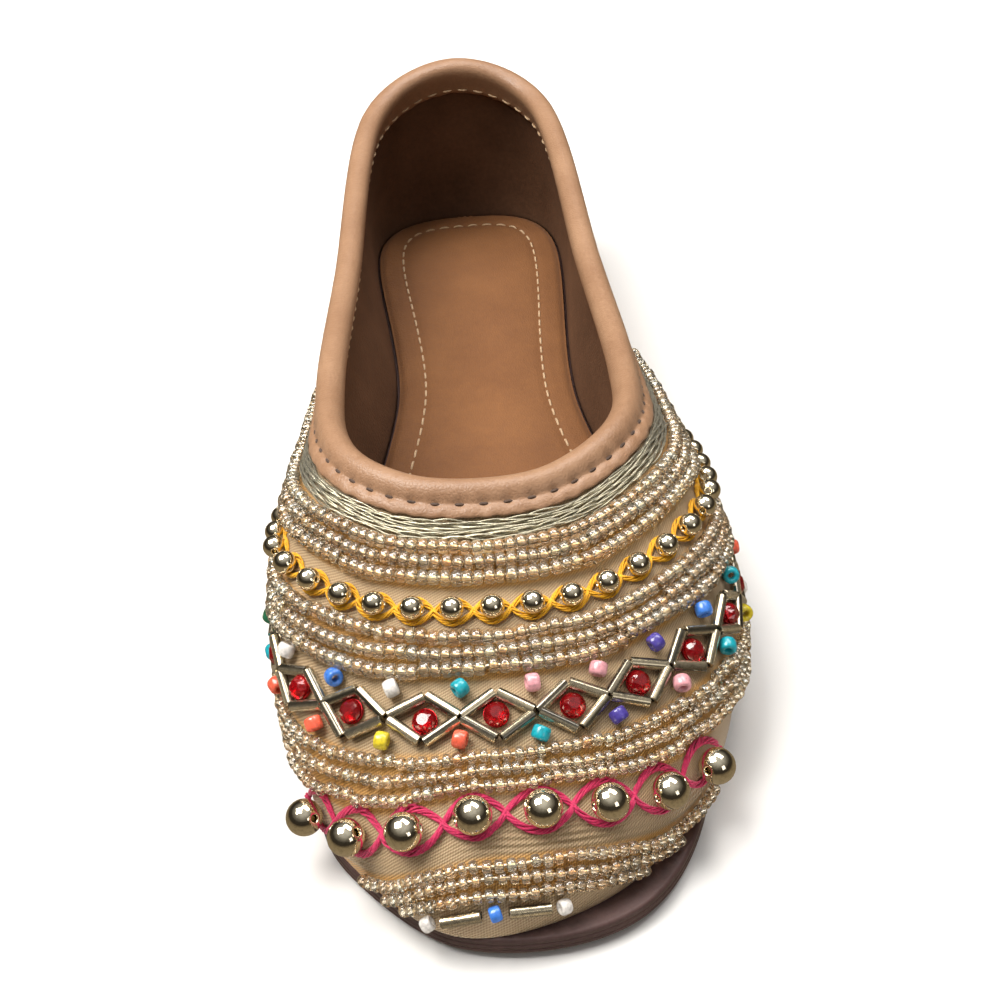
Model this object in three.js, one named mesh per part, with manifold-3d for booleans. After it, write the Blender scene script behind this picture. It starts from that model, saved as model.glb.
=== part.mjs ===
// A woman's beaded mojari: a slip-on shoe with a round toe, a flat leather sole, a bound topline
// and rows of beads, each row at its own distance below the topline.
// Millimetres, +Z up. The toe points to -Y, the medial side is -X, and the floor is Z = 0.
import * as THREE from "three";
import { mergeVertices } from "three/addons/utils/BufferGeometryUtils.js";
import Module from "manifold-3d";

// Driving dimensions
const LENGTH = 248; // along the feather line, where upper and sole meet
const BALL_WIDTH = 84; // feather line across the ball
const INSTEP = 49; // top of the throat above the floor
const WALL = 2.2; // embroidered cloth with its leather lining
const GAP = 0.3; // between pieces that touch
const CENTRE_ACROSS = -3.36; // moves the sections so that the origin is under the middle of the shoe
const CENTRE_ALONG = 1.62;

// Sole
const SOLE_THICKNESS = 4.2;
const HEEL_LIFT = 2; // extra thickness under the heel
const HEEL_LIFT_RANGE = [25, 70]; // along the shoe
const TOE_SPRING = 1;
const TOE_SPRING_START = -92;
const TOE_END = -123;
const ARCH = 2;
const ARCH_RANGE = [-20, 58];
const SOLE_CHAMFER = 1;
const INSOLE_THICKNESS = 2.2;
const INSOLE_EDGE = 0.8; // rounding of the insole's top edge

// Beadwork. Every "below" is a distance from the topline, measured down the upper's surface.
const SEAM_TURN = 0.3; // the beaded vamp ends here on both sides, in turns from the toe
const ROW_END_MARGIN = 1; // rows stop this far above the sole
const BINDING_WIDTH = 6.2;
const ZARI = { from: 6.6, to: 10.4, thick: 0.8 };
const SEED = { valley: 1, ridge: 2.4 };
const SEED_BANDS = [
  { from: 10.8, to: 19.4, rows: 3 },
  { from: 27.4, to: 36.3, rows: 3 },
  { from: 48.9, to: 56.1, rows: 3 },
  { from: 66.3, to: 73.2, rows: 3 },
];
const ROW_SAG = { depth: 3.5, middle: 0.03, away: [0.01, 0.095], under: [46, 62] }; // of the lower rows
const SMALL_BEADS = { below: 23.9, radius: 2.15, pitch: 6.9, start: 1.6, sides: 5, reach: SEAM_TURN };
const LARGE_BEADS = { below: 59.5, radius: 3.25, pitch: 10.9, start: 0.7, sides: 7, reach: 0.15 };
const THREAD_RADIUS = 0.45;
const BUGLE_RADIUS = 0.95;
const BUGLE_SIDES = 6;
const BUGLE_LIFT = 1.5; // tube's axis above the cloth
const LATTICE = { below: 43.2, halfHeight: 4.2, pitch: 12.7, start: 9.9, room: 6 };
const STONE = { radius: 2.1, table: 1.3, girdle: 0.9, height: 1.9 };
const ACCENT = { radius: 1.6, height: 2.4, sides: 5, over: 5, under: 3.9 }; // loose beads by the lattice
const TOE_ROW = { below: 75, bead: 1.35, bugle: 7, pitch: 11.2, start: 5 };

// Mesh density
const RINGS = 56; // steps round the shoe
const COLLAR = 7.5; // depth of the finer steps at the topline
const RIM_STEPS = [0, COLLAR / 2];
const OUTER_STEPS = 9;
const INNER_STEPS = 6;
const ARC_SAMPLES = 48; // for measuring along a section

// Sections of the upper, in order round the shoe from the toe by the lateral side.
// Each one is a cubic arc from the feather line up to the topline. Widths are shares of BALL_WIDTH,
// lengths shares of LENGTH and heights shares of INSTEP. The arc leaves the feather line by "bulge" outwards
// and "rise" upwards, and reaches the topline from "spread" outwards and "drop" below, all in millimetres.
// "welt" is how far the sole stands out from the feather line.
const COLUMNS = [
  "footAcross", "footAlong", "topAcross", "topAlong", "topHeight", "bulge", "rise", "spread", "drop", "welt",
];
const SECTIONS = {
  toe: [-0.097, -0.507, 0.0, -0.246, 0.995, -0.6, 16, 26, 16, -0.2],
  lateralCorner: [0.235, -0.474, 0.167, -0.234, 1.0, 0.7, 16.5, 20, 13, 4.6],
  lateralSide: [0.469, -0.365, 0.317, -0.179, 1.01, 6.4, 18.9, 17.2, 9.5, -0.4],
  lateralBall: [0.534, -0.202, 0.362, -0.075, 0.929, 4.1, 20.9, 6, 8, 0.8],
  lateralWaist: [0.32, 0.081, 0.34, 0.121, 0.878, 2, 14, 4, 12, 1.3],
  lateralHeel: [0.315, 0.427, 0.271, 0.419, 0.99, 2, 14, 3, 14, 1.3],
  heel: [0.0, 0.495, 0.0, 0.478, 1.12, 3, 18, 3, 16, 1.3],
  medialHeel: [-0.315, 0.427, -0.271, 0.419, 0.99, 2, 14, 3, 14, 1.3],
  medialWaist: [-0.262, 0.101, -0.338, 0.121, 0.878, 3, 14, 4, 12, 1.3],
  medialBall: [-0.454, -0.222, -0.357, -0.073, 0.935, 3.6, 17.2, 3.6, 9.7, 0.8],
  medialSide: [-0.413, -0.363, -0.307, -0.183, 0.996, 4.6, 19.9, 17.3, 9.8, 0.3],
  medialCorner: [-0.329, -0.437, -0.174, -0.234, 1.003, 2.7, 16.8, 20, 13, 0.2],
};
const SECTION_ROWS = Object.values(SECTIONS);

const UP = new THREE.Vector3(0, 0, 1);
const wasm = await Module();
wasm.setup();

function smoothStep(from, to, value) {
  const t = THREE.MathUtils.clamp((value - from) / (to - from), 0, 1);
  return t * t * (3 - 2 * t);
}

// Underside of the sole: flat under the forefoot and the heel, raised at the toe and the arch.
function soleBottom(along) {
  const toe = Math.max(0, (TOE_SPRING_START - along) / (TOE_SPRING_START - TOE_END));
  const arch = THREE.MathUtils.clamp((along - ARCH_RANGE[0]) / (ARCH_RANGE[1] - ARCH_RANGE[0]), 0, 1);
  return TOE_SPRING * toe ** 2 + ARCH * Math.sin(Math.PI * arch) ** 2;
}

function soleTop(along) {
  return soleBottom(along) + SOLE_THICKNESS + HEEL_LIFT * smoothStep(...HEEL_LIFT_RANGE, along);
}

// The section at a turn round the shoe, as named columns, by a closed Catmull-Rom curve through the rows.
function sectionAt(turn) {
  const count = SECTION_ROWS.length;
  const place = (turn - Math.floor(turn)) * count;
  const first = Math.floor(place) % count;
  const t = place - Math.floor(place);
  const row = (step) => SECTION_ROWS[(first + step + count) % count];
  const section = {};
  COLUMNS.forEach((name, column) => {
    const [before, from, to, after] = [-1, 0, 1, 2].map((step) => row(step)[column]);
    const leave = (to - before) / 2;
    const arrive = (after - from) / 2;
    section[name] =
      (2 * t ** 3 - 3 * t ** 2 + 1) * from + (t ** 3 - 2 * t ** 2 + t) * leave +
      (3 * t ** 2 - 2 * t ** 3) * to + (t ** 3 - t ** 2) * arrive;
  });
  return section;
}

function footPoint(turn) {
  const s = sectionAt(turn);
  const along = s.footAlong * LENGTH + CENTRE_ALONG;
  return new THREE.Vector3(s.footAcross * BALL_WIDTH + CENTRE_ACROSS, along, soleTop(along) + GAP);
}

function topPoint(turn) {
  const s = sectionAt(turn);
  return new THREE.Vector3(
    s.topAcross * BALL_WIDTH + CENTRE_ACROSS, s.topAlong * LENGTH + CENTRE_ALONG, s.topHeight * INSTEP,
  );
}

// Level direction that points away from the shoe, square to a closed curve round it.
function outward(curve, turn) {
  const step = 1e-4;
  const tangent = curve(turn + step).sub(curve(turn - step));
  return new THREE.Vector3(tangent.y, -tangent.x, 0).normalize();
}

// One arc of the upper at a turn, which measures distances from the topline down its own surface.
class Section {
  constructor(turn) {
    this.turn = turn;
    const s = sectionAt(turn);
    const foot = footPoint(turn);
    const top = topPoint(turn);
    const leaving = foot.clone().addScaledVector(UP, s.rise);
    leaving.addScaledVector(outward(footPoint, turn), s.bulge);
    const arriving = top.clone().addScaledVector(UP, -s.drop);
    arriving.addScaledVector(outward(topPoint, turn), s.spread);
    this.arc = new THREE.CubicBezierCurve3(top, arriving, leaving, foot);
    this.lengths = [0];
    let last = top;
    for (let i = 1; i <= ARC_SAMPLES; i++) {
      const next = this.arc.getPoint(i / ARC_SAMPLES);
      this.lengths.push(this.lengths[i - 1] + next.distanceTo(last));
      last = next;
    }
    this.length = this.lengths[ARC_SAMPLES];
  }

  // Place on the arc, 0 at the topline and 1 at the feather line, of a distance from the topline.
  placeOf(below) {
    let i = 1;
    while (i < ARC_SAMPLES && this.lengths[i] < below) i++;
    const share = (below - this.lengths[i - 1]) / (this.lengths[i] - this.lengths[i - 1]);
    return (i - 1 + share) / ARC_SAMPLES;
  }

  // A point below the topline and raised off the surface. Above the topline the surface goes straight on.
  point(below, raised) {
    const place = Math.min(this.placeOf(Math.max(below, 0)), 1);
    const on = this.arc.getPoint(place);
    if (below < 0) on.addScaledVector(this.arc.getTangent(0), below);
    return on.addScaledVector(this.normal(place), raised);
  }

  normal(place) {
    const down = this.arc.getTangent(place);
    const step = 2e-3;
    const round = plainSection(this.turn + step).arc.getPoint(place)
      .sub(plainSection(this.turn - step).arc.getPoint(place));
    return down.cross(round).normalize();
  }
}

const sections = new Map();
function plainSection(turn) {
  const key = turn.toFixed(6);
  if (!sections.has(key)) sections.set(key, new Section(turn));
  return sections.get(key);
}

// The width of surface below the topline, and a point on or above the upper.
const drop = (turn) => plainSection(turn).length;
const skin = (turn, below, raised) => plainSection(turn).point(below, raised);

// Beadwork is laid in rows that keep their distance from the topline, but the lower ones sag at the sides.
function sag(turn, below) {
  const { depth, middle, away, under } = ROW_SAG;
  return depth * smoothStep(...away, Math.abs(turn - middle)) * smoothStep(...under, below);
}
const laid = (turn, below, raised) => skin(turn, below + sag(turn, below), raised);

// Room for beadwork below the topline at a turn.
const lowest = (turn) => drop(turn) - ROW_END_MARGIN;

// Direction of a row, and the length of it in one turn at that rate.
function rowTangent(turn, below) {
  const step = 2e-3;
  return laid(turn + step, below, 0).sub(laid(turn - step, below, 0)).divideScalar(2 * step);
}
const speedAt = (turn, below) => rowTangent(turn, below).length();

// The turn that lies square across a row from a point on it.
function turnAcross(turn, below, away) {
  const along = rowTangent(turn, below);
  const slip = laid(turn, below + away, 0).sub(laid(turn, below, 0)).dot(along);
  return turn - slip / along.lengthSq();
}

// Solids

function geometryOf(points, faces) {
  const geometry = new THREE.BufferGeometry();
  const values = points.flatMap((p) => [p.x, p.y, p.z]);
  geometry.setAttribute("position", new THREE.Float32BufferAttribute(values, 3));
  geometry.setIndex(faces.flat());
  return geometry;
}

function signedVolume(points, faces) {
  return faces.reduce((sum, [a, b, c]) => sum + points[a].dot(points[b].clone().cross(points[c])) / 6, 0);
}

// A solid through closed profiles with equal numbers of points: a ring, or a strip with flat ends.
function sweep(profiles, closed) {
  const size = profiles[0].length;
  const points = profiles.flat();
  const faces = [];
  const spans = closed ? profiles.length : profiles.length - 1;
  for (let i = 0; i < spans; i++) {
    const here = i * size;
    const next = ((i + 1) % profiles.length) * size;
    for (let j = 0; j < size; j++) {
      const k = (j + 1) % size;
      faces.push([here + j, next + j, next + k], [here + j, next + k, here + k]);
    }
  }
  if (!closed) {
    const end = (profiles.length - 1) * size;
    for (let j = 1; j < size - 1; j++) faces.push([0, j, j + 1], [end, end + j + 1, end + j]);
  }
  if (signedVolume(points, faces) < 0) faces.forEach((face) => face.reverse());
  return geometryOf(points, faces);
}

function toManifold(geometry) {
  const plain = geometry.clone();
  ["normal", "uv"].forEach((name) => plain.deleteAttribute(name));
  const merged = mergeVertices(plain, 1e-4);
  return new wasm.Manifold(new wasm.Mesh({
    numProp: 3,
    vertProperties: new Float32Array(merged.attributes.position.array),
    triVerts: new Uint32Array(merged.index.array),
  }));
}

function union(geometries) {
  const mesh = geometries.map(toManifold).reduce((sum, next) => sum.add(next)).getMesh();
  const geometry = new THREE.BufferGeometry();
  geometry.setAttribute("position", new THREE.Float32BufferAttribute(mesh.vertProperties, 3));
  geometry.setIndex(Array.from(mesh.triVerts));
  return geometry;
}

function steps(count, from, to) {
  return Array.from({ length: count + 1 }, (_, i) => from + ((to - from) * i) / count);
}

// Sole and insole: profiles across the shoe, each from the medial to the lateral side
const NEAR_END = 0.003; // the first and last profiles, in turns from the toe and heel tips
const ACROSS_TURNS = [NEAR_END, ...steps(RINGS / 2 - 2, 1 / RINGS, 0.5 - 1 / RINGS), 0.5 - NEAR_END];

function edgePoint(turn, push, height) {
  const edge = footPoint(turn).addScaledVector(outward(footPoint, turn), push(turn));
  return edge.setZ(height(edge.y));
}

// An edge is a list of [distance out from the feather line at a turn, height at a place along the shoe].
function acrossProfile(turn, edge) {
  const lateral = edge.map(([push, height]) => edgePoint(turn, push, height));
  const medial = edge.map(([push, height]) => edgePoint(-turn, push, height));
  return [...lateral, ...medial.reverse()];
}

function outsole() {
  const welt = (turn) => sectionAt(turn).welt;
  const edge = [
    [(turn) => welt(turn) - SOLE_CHAMFER, soleBottom],
    [welt, (along) => soleBottom(along) + SOLE_CHAMFER],
    [welt, soleTop],
  ];
  return sweep(ACROSS_TURNS.map((turn) => acrossProfile(turn, edge)), false);
}

function insole() {
  const inset = () => -(WALL + 3 * GAP);
  const base = (along) => soleTop(along) + GAP;
  const edge = [
    [inset, base],
    [inset, (along) => base(along) + INSOLE_THICKNESS - INSOLE_EDGE],
    [() => inset() - INSOLE_EDGE, (along) => base(along) + INSOLE_THICKNESS],
  ];
  return sweep(ACROSS_TURNS.map((turn) => acrossProfile(turn, edge)), false);
}

// Upper and binding: closed profiles set round the shoe
const ringTurns = Array.from({ length: RINGS }, (_, i) => i / RINGS);

function upper() {
  const profile = (turn) => {
    const width = drop(turn);
    const outer = [...RIM_STEPS, ...steps(OUTER_STEPS, COLLAR, width)];
    const inner = [...RIM_STEPS, ...steps(INNER_STEPS, COLLAR, width)].reverse();
    return [...outer.map((below) => skin(turn, below, 0)), ...inner.map((below) => skin(turn, below, -WALL))];
  };
  return sweep(ringTurns.map(profile), true);
}

// A leather strip folded over the topline: a padded roll, a stitched groove and a flat band outside,
// and a flat band inside.
function binding() {
  const inside = -WALL;
  const fold = [
    [BINDING_WIDTH, GAP], [BINDING_WIDTH, GAP + 0.9], [3.6, GAP + 1.2], [3, GAP + 0.8], [1.6, GAP + 1.7],
    [-0.6, GAP + 1.4], [-1.8, inside / 2], [-0.6, inside - GAP - 1.4], [1.6, inside - GAP - 1.2],
    [BINDING_WIDTH + 1, inside - GAP - 0.8], [BINDING_WIDTH + 1, inside - GAP], [-GAP, inside - GAP],
    [-GAP, GAP], [BINDING_WIDTH / 2, GAP],
  ];
  return sweep(ringTurns.map((turn) => fold.map(([below, raised]) => skin(turn, below, raised))), true);
}

// Rows of beads

// How far round a row runs on one side (+1 lateral, -1 medial) before the side seam or the sole stops it.
function rowEnd(below, side) {
  const step = 0.002;
  let turn = 0;
  const clear = (at) => lowest(at) >= below + sag(at, below);
  while (turn < SEAM_TURN && clear(side * (turn + step))) turn += step;
  return side * turn;
}

// A band laid on the upper, with the profile of its outer face given as [share of its width, height] pairs.
// It narrows where it runs down to the sole.
function band(from, to, face) {
  const narrowest = (to - from) / 3;
  const [first, last] = [-1, 1].map((side) => rowEnd(from + narrowest, side));
  const apart = 0.2 / RINGS;
  const between = steps(RINGS, -0.5, 0.5).filter((turn) => turn > first + apart && turn < last - apart);
  const outline = [[0, 0], ...face, [1, 0], [0.5, 0]];
  const profile = (turn) => {
    const start = from + sag(turn, from);
    const end = Math.min(to + sag(turn, to), lowest(turn));
    return outline.map(([share, height]) => skin(turn, start + share * (end - start), GAP + height));
  };
  return sweep([first, ...between, last].map(profile), false);
}

const zariBand = () => band(ZARI.from, ZARI.to, [[0, ZARI.thick], [1, ZARI.thick]]);

function seedBand({ from, to, rows }) {
  const face = [[0, SEED.valley]];
  for (let row = 0; row < rows; row++) {
    face.push([(row + 0.5) / rows, SEED.ridge], [(row + 1) / rows, SEED.valley]);
  }
  return band(from, to, face);
}

// Turns of points a pitch apart along a row, counted both ways from the toe, with room for beads this high.
function turnsAlong(below, pitch, start, room) {
  const found = [];
  for (const side of [-1, 1]) {
    const end = rowEnd(below + room, side);
    let wanted = side < 0 ? pitch - start : start;
    let run = 0;
    let last = laid(0, below, 0);
    for (const turn of steps(600, 0, end)) {
      const next = laid(turn, below, 0);
      run += next.distanceTo(last);
      last = next;
      if (run < wanted - 1e-6) continue;
      found.push(turn);
      wanted += pitch;
    }
  }
  return found.sort((a, b) => a - b);
}

// A string of beads along a row: rings round the thread, which widen where there is a bead.
// Each ring is { turn, raised, radius }.
function string(below, rings, sides) {
  const centres = rings.map(({ turn, raised }) => laid(turn, below, raised));
  const profiles = rings.map(({ turn, raised, radius }, i) => {
    const centre = centres[i];
    const along = laid(turn + 1e-3, below, raised).sub(laid(turn - 1e-3, below, raised)).normalize();
    const away = laid(turn, below, raised + 1).sub(centre);
    const across = along.clone().cross(away).normalize();
    return steps(sides, 0, 2 * Math.PI).slice(1).map((angle) => centre.clone()
      .addScaledVector(away, radius * Math.cos(angle))
      .addScaledVector(across, radius * Math.sin(angle)));
  });
  return sweep(profiles, false);
}

// Rings of one bead, as shares of its half length and its radius.
const ROUND_BEAD = [[-0.97, 0], [-0.6, 0.8], [0, 1], [0.6, 0.8], [0.97, 0]];
const TUBE_BEAD = [[-1, 0], [-0.97, 1], [0.97, 1], [1, 0]];

function beadRings(turn, below, raised, { halfLength, radius, shape }) {
  return shape.map(([place, width]) => ({
    turn: turn + (place * halfLength) / speedAt(turn, below),
    raised,
    radius: Math.max(width * radius, THREAD_RADIUS),
  }));
}

// Round beads on their thread, which dips towards the cloth between them.
function roundBeadRow({ below, radius, pitch, start, sides, reach }) {
  const turns = turnsAlong(below, pitch, start, radius).filter((turn) => Math.abs(turn) < reach);
  const bead = { halfLength: radius, radius, shape: ROUND_BEAD };
  const rings = turns.flatMap((turn, i) => {
    const own = beadRings(turn, below, 2 * GAP + radius, bead);
    if (i === 0) return own;
    return [{ turn: (turns[i - 1] + turn) / 2, raised: 1.6, radius: THREAD_RADIUS }, ...own];
  });
  return string(below, rings, sides);
}

// The row above the sole at the toe: short bugles with a bead between them.
function toeRow() {
  const { below, pitch, start, bead, bugle } = TOE_ROW;
  const turns = turnsAlong(below, pitch, start, 0);
  const raised = BUGLE_LIFT + GAP;
  const rings = turns.flatMap((turn, i) => {
    const own = beadRings(turn, below, raised, { halfLength: bead, radius: bead, shape: ROUND_BEAD });
    if (i === 0) return own;
    const between = (turns[i - 1] + turn) / 2;
    const tube = { halfLength: bugle / 2, radius: BUGLE_RADIUS, shape: TUBE_BEAD };
    return [...beadRings(between, below, raised, tube), ...own];
  });
  return string(below, rings, 6);
}

const latticeTurns = turnsAlong(LATTICE.below, LATTICE.pitch, LATTICE.start, LATTICE.room);
const diamondTurns = latticeTurns.slice(1).map((turn, i) => (latticeTurns[i] + turn) / 2);

// One of the lattice's two zigzags of bugles: over (-1) or under (+1) its middle line.
function zigzag(side) {
  const corners = latticeTurns.flatMap((turn, i) => [[turn, 0], [diamondTurns[i], side]]).slice(0, -1);
  const slope = Math.hypot(LATTICE.pitch / 2, LATTICE.halfHeight) / (LATTICE.pitch / 2);
  const profiles = corners.map(([turn, level]) => {
    const away = level * LATTICE.halfHeight;
    const across = (extra) => {
      const shift = away + extra;
      return laid(turnAcross(turn, LATTICE.below, shift), LATTICE.below + shift, BUGLE_LIFT);
    };
    const centre = across(0);
    const down = across(0.5).sub(across(-0.5)).normalize();
    const out = laid(turn, LATTICE.below + away, 1).sub(laid(turn, LATTICE.below + away, 0));
    const angles = steps(BUGLE_SIDES, 0, 2 * Math.PI).slice(1);
    return angles.map((angle) => centre.clone()
      .addScaledVector(out, BUGLE_RADIUS * Math.cos(angle))
      .addScaledVector(down, BUGLE_RADIUS * slope * Math.sin(angle)));
  });
  return sweep(profiles, false);
}

const bugleLattice = () => union([zigzag(-1), zigzag(1)]);

// Places a solid made along +Z at the origin so that it stands on the upper.
function stand(mesh, turn, below, raised) {
  mesh.position.copy(laid(turn, below, raised));
  const away = laid(turn, below, raised + 1).sub(mesh.position);
  mesh.quaternion.setFromUnitVectors(UP, away);
  return mesh;
}

function lathe(profile, segments) {
  const geometry = new THREE.LatheGeometry(profile.map(([x, y]) => new THREE.Vector2(x, y)), segments);
  return geometry.rotateX(Math.PI / 2);
}

function stone() {
  const { radius, table, girdle, height } = STONE;
  return lathe([[0, 0], [radius, 0], [radius, girdle], [table, height], [0, height]], 7);
}

function accentBead() {
  const { radius, height, sides } = ACCENT;
  const end = radius * 0.7;
  return lathe([[0, 0], [end, 0], [radius, height / 2], [end, height], [0, height]], sides);
}

// Materials

function material(color, roughness, metalness) {
  return new THREE.MeshStandardMaterial({ color, roughness, metalness });
}
const SOLE_LEATHER = material("#5a4038", 0.7, 0);
const INSOLE_LEATHER = material("#a9713f", 0.65, 0);
const BINDING_LEATHER = material("#c08d68", 0.45, 0);
const CLOTH = material("#dcb887", 0.6, 0);
const ZARI_THREAD = material("#c3bd96", 0.35, 0.6);
const SEED_GLASS = material("#c9a878", 0.2, 0.2);
const SILVERED = material("#b5ab90", 0.15, 1);
const BUGLE_GLASS = material("#a39878", 0.12, 0.4);
const RED_GLASS = material("#b0101a", 0.08, 0);
const ACCENT_COLOURS = {
  turquoise: "#17a6b4", blue: "#3b78d8", white: "#e6e2dc", yellow: "#ddca2c",
  coral: "#ee6a52", pink: "#e2a0ac", violet: "#4a3f96", green: "#1f6b4a",
};

// Loose coloured beads beside the lattice, one over or under a crossing, from the medial to the lateral side.
const ACCENTS_ABOVE = [
  "coral", "turquoise", "green", "white", "blue", "white", "turquoise", "pink", "pink", "violet",
  "blue", "turquoise", "coral", "white", "yellow",
];
const ACCENTS_BELOW = [
  "blue", "pink", "turquoise", "coral", "coral", "yellow", "coral", "turquoise", "violet", "pink",
  "turquoise", "yellow", "white", "blue", "white",
];

// Assembly

const shoe = new THREE.Group();

function add(name, geometry, finish) {
  const mesh = new THREE.Mesh(geometry, finish);
  mesh.name = name;
  shoe.add(mesh);
  return mesh;
}

add("outsole", outsole(), SOLE_LEATHER);
add("insole", insole(), INSOLE_LEATHER);
add("upper", upper(), CLOTH);
add("topline_binding", binding(), BINDING_LEATHER);
add("zari_band", zariBand(), ZARI_THREAD);
SEED_BANDS.forEach((rows, i) => add(`seed_band_${i + 1}`, seedBand(rows), SEED_GLASS));
add("small_bead_row", roundBeadRow(SMALL_BEADS), SILVERED);
add("large_bead_row", roundBeadRow(LARGE_BEADS), SILVERED);
add("bugle_lattice", bugleLattice(), BUGLE_GLASS);
add("toe_bugle_row", toeRow(), BUGLE_GLASS);

const STONE_GEOMETRY = stone();
diamondTurns.forEach((turn, i) => {
  stand(add(`red_stone_${i + 1}`, STONE_GEOMETRY, RED_GLASS), turn, LATTICE.below, GAP);
});

const ACCENT_GEOMETRY = accentBead();
latticeTurns.forEach((turn, i) => {
  const above = ACCENTS_ABOVE[i % ACCENTS_ABOVE.length];
  const below = ACCENTS_BELOW[i % ACCENTS_BELOW.length];
  const place = (name, colour, offset) => {
    const bead = add(name, ACCENT_GEOMETRY, material(colour, 0.25, 0));
    stand(bead, turnAcross(turn, LATTICE.below, offset), LATTICE.below + offset, GAP);
  };
  place(`accent_above_${i + 1}`, ACCENT_COLOURS[above], -ACCENT.over);
  place(`accent_below_${i + 1}`, ACCENT_COLOURS[below], ACCENT.under);
});

export default shoe;
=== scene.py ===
"""Looks of a beaded mojari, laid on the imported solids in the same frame.

The upper is worked out in millimetres from the same section table as the solids. Beads, threads and stitches
are placed on it by a turn round the shoe from the toe and a distance below the topline.
"""

import math

import bpy
import numpy as np
from mathutils import Matrix, Vector


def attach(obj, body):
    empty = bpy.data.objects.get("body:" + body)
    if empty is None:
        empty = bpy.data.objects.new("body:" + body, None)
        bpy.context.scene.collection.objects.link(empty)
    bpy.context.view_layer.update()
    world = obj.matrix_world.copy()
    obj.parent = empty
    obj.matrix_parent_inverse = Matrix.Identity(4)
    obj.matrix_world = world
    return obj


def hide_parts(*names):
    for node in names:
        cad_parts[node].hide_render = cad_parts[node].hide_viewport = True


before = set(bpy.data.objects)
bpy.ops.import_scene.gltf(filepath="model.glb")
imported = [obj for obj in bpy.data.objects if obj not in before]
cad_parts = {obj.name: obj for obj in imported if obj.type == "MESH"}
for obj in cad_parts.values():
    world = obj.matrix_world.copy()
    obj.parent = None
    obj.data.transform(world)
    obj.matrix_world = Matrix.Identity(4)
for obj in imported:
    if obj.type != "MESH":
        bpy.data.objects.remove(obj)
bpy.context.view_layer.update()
rng = np.random.default_rng(11)

MM = 0.001

# Driving dimensions, the same as the solids'
LENGTH = 248
BALL_WIDTH = 84
INSTEP = 49
WALL = 2.2
GAP = 0.3
CENTRE_ACROSS = -3.36
CENTRE_ALONG = 1.62
SOLE_THICKNESS = 4.2
HEEL_LIFT = 2
HEEL_LIFT_RANGE = (25, 70)
TOE_SPRING = 1
TOE_SPRING_START = -92
TOE_END = -123
ARCH = 2
ARCH_RANGE = (-20, 58)
INSOLE_THICKNESS = 2.2
SEAM_TURN = 0.3
ROW_END_MARGIN = 1

# Beadwork, by distance below the topline
ZARI_FROM, ZARI_TO = 6.6, 10.4
SEED_BANDS = ((10.8, 19.4), (27.4, 36.3), (48.9, 56.1), (66.3, 73.2))
SEED_ROWS = 3
ROW_SAG = {"depth": 3.5, "middle": 0.03, "away": (0.01, 0.095), "under": (46, 62)}
SMALL_BEADS = {"below": 23.9, "radius": 2.15, "pitch": 6.9, "start": 1.6, "reach": SEAM_TURN}
LARGE_BEADS = {"below": 59.5, "radius": 3.25, "pitch": 10.9, "start": 0.7, "reach": 0.15}
LATTICE = {"below": 43.2, "half_height": 4.2, "pitch": 12.7, "start": 9.9, "room": 6}
TOE_ROW = {"below": 75, "pitch": 11.2, "start": 5}
ACCENT_OVER = 5
ACCENT_UNDER = 3.9
ACCENTS_ABOVE = (
    "coral", "turquoise", "green", "white", "blue", "white", "turquoise", "pink", "pink", "violet",
    "blue", "turquoise", "coral", "white", "yellow",
)
ACCENTS_BELOW = (
    "blue", "pink", "turquoise", "coral", "coral", "yellow", "coral", "turquoise", "violet", "pink",
    "turquoise", "yellow", "white", "blue", "white",
)
TOE_COLOURS = ("white", "blue", "white")

# Sections of the upper, from the toe by the lateral side: foot across and along, top across, along and height
# as shares, then bulge, rise, spread, drop and welt in millimetres.
SECTIONS = np.array([
    [-0.097, -0.507, 0.0, -0.246, 0.995, -0.6, 16, 26, 16, -0.2],  # toe
    [0.235, -0.474, 0.167, -0.234, 1.0, 0.7, 16.5, 20, 13, 4.6],  # lateral corner
    [0.469, -0.365, 0.317, -0.179, 1.01, 6.4, 18.9, 17.2, 9.5, -0.4],  # lateral side
    [0.534, -0.202, 0.362, -0.075, 0.929, 4.1, 20.9, 6, 8, 0.8],  # lateral ball
    [0.32, 0.081, 0.34, 0.121, 0.878, 2, 14, 4, 12, 1.3],  # lateral waist
    [0.315, 0.427, 0.271, 0.419, 0.99, 2, 14, 3, 14, 1.3],  # lateral heel
    [0.0, 0.495, 0.0, 0.478, 1.12, 3, 18, 3, 16, 1.3],  # heel
    [-0.315, 0.427, -0.271, 0.419, 0.99, 2, 14, 3, 14, 1.3],  # medial heel
    [-0.262, 0.101, -0.338, 0.121, 0.878, 3, 14, 4, 12, 1.3],  # medial waist
    [-0.454, -0.222, -0.357, -0.073, 0.935, 3.6, 17.2, 3.6, 9.7, 0.8],  # medial ball
    [-0.413, -0.363, -0.307, -0.183, 0.996, 4.6, 19.9, 17.3, 9.8, 0.3],  # medial side
    [-0.329, -0.437, -0.174, -0.234, 1.003, 2.7, 16.8, 20, 13, 0.2],  # medial corner
])
SHARE_SCALE = np.array([BALL_WIDTH, LENGTH, BALL_WIDTH, LENGTH, INSTEP, 1, 1, 1, 1, 1])


# The upper's surface

def unit(vectors):
    return vectors / np.linalg.norm(vectors, axis=-1, keepdims=True)


def smooth_step(low, high, value):
    t = np.clip((value - low) / (high - low), 0, 1)
    return t * t * (3 - 2 * t)


def sole_bottom(along):
    toe = np.maximum(0, (TOE_SPRING_START - along) / (TOE_SPRING_START - TOE_END))
    arch = np.clip((along - ARCH_RANGE[0]) / (ARCH_RANGE[1] - ARCH_RANGE[0]), 0, 1)
    return TOE_SPRING * toe ** 2 + ARCH * np.sin(np.pi * arch) ** 2


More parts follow.
